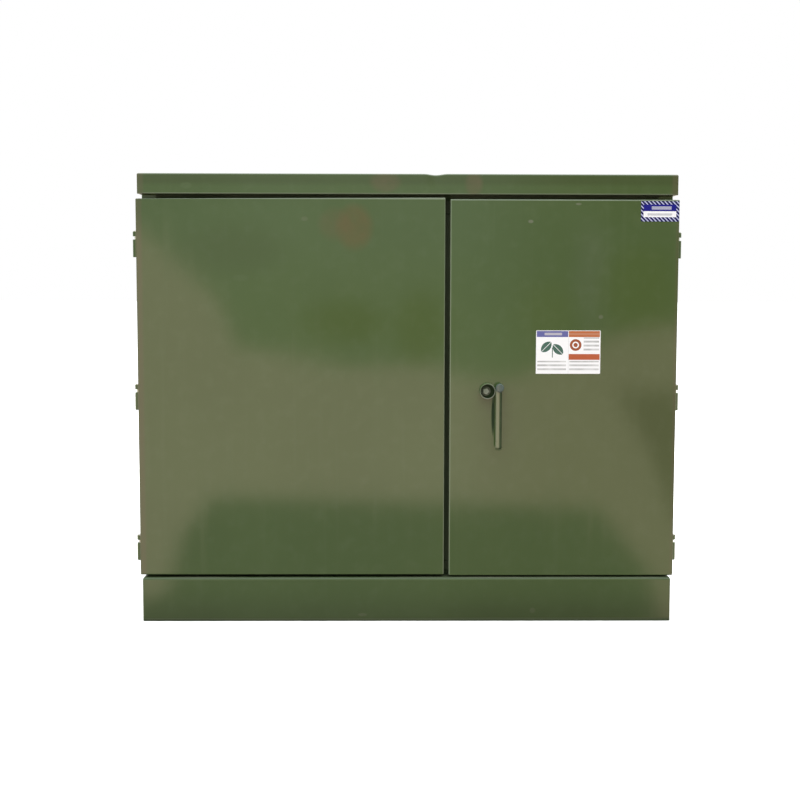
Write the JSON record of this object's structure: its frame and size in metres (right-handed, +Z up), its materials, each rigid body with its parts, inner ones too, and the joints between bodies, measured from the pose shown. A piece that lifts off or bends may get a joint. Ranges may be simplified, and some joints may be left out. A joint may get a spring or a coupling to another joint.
{
  "type": "power transformer",
  "caption": "Pad-mounted three-phase distribution transformer: green steel cabinet with two hinged doors, a hanging lever handle, a sealed tank and rear radiators.",
  "frame": {"origin": "on the ground at the middle of the bounding box", "axes": "+X to the viewer's right along the doors, +Y to the back, +Z up; the doors face -Y"},
  "size_m": [1.56, 1.214, 1.276],
  "materials": {
    "green_paint": "satin",
    "stainless": "brushed",
    "zinc": "satin",
    "bronze": "satin",
    "epoxy": "satin",
    "moulded_resin": "satin",
    "tinned_copper": "satin",
    "gauge_case": "satin"
  },
  "bodies": {
    "cabinet_and_tank": {"side_wall_left": "green_paint", "side_wall_right": "green_paint", "door_header": "green_paint", "lower_rail": "green_paint", "centre_post": "green_paint", "compartment_barrier": "green_paint", "hood": "green_paint", "front_sill": "green_paint", "tank_front_plate": "green_paint", "tank": "green_paint", "tank_cover": "green_paint", "handhole_cover": "green_paint", "handhole_bolts": "zinc", "base_rails": "green_paint", "lifting_lugs": "green_paint", "jacking_pads": "green_paint", "radiator_panels": "green_paint", "radiator_pipe_bottom": "green_paint", "radiator_pipe_top": "green_paint", "left_frame_barrels": "green_paint", "right_frame_barrels": "green_paint", "left_hinge_pins": "stainless", "right_hinge_pins": "stainless", "hv_bushings": "epoxy", "parking_stands": "zinc", "fuse_holders": "epoxy", "load_break_switch": "epoxy", "tap_changer": "epoxy", "lv_bushings": "moulded_resin", "lv_spades": "tinned_copper", "gauges": "gauge_case", "relief_valve": "bronze", "drain_valve": "bronze", "ground_pads": "zinc"},
    "left_leaf": {"left_door": "green_paint", "left_door_stiffeners": "green_paint", "left_door_knuckles": "green_paint"},
    "right_leaf": {"right_door": "green_paint", "right_door_stiffener": "green_paint", "right_door_knuckles": "green_paint", "handle_bearing": "zinc", "lock_cup": "zinc", "lock_bolt": "bronze"},
    "lever": {"handle": "stainless", "latch_cam": "zinc"}
  },
  "joints": [
    {"name": "left_door_hinge", "type": "hinge", "parent": "cabinet_and_tank", "child": "left_leaf", "pos_m": [-0.768, -0.5115, 0.66], "axis": [0, 0, -1], "range_deg": [0, 180]},
    {"name": "right_door_hinge", "type": "hinge", "parent": "cabinet_and_tank", "child": "right_leaf", "pos_m": [0.768, -0.5115, 0.66], "axis": [0, 0, 1], "range_deg": [0, 180]},
    {"name": "handle_turn", "type": "hinge", "parent": "right_leaf", "child": "lever", "pos_m": [0.2585, -0.589, 0.673], "axis": [0, -1, 0], "range_deg": [0, 90]}
  ]
}
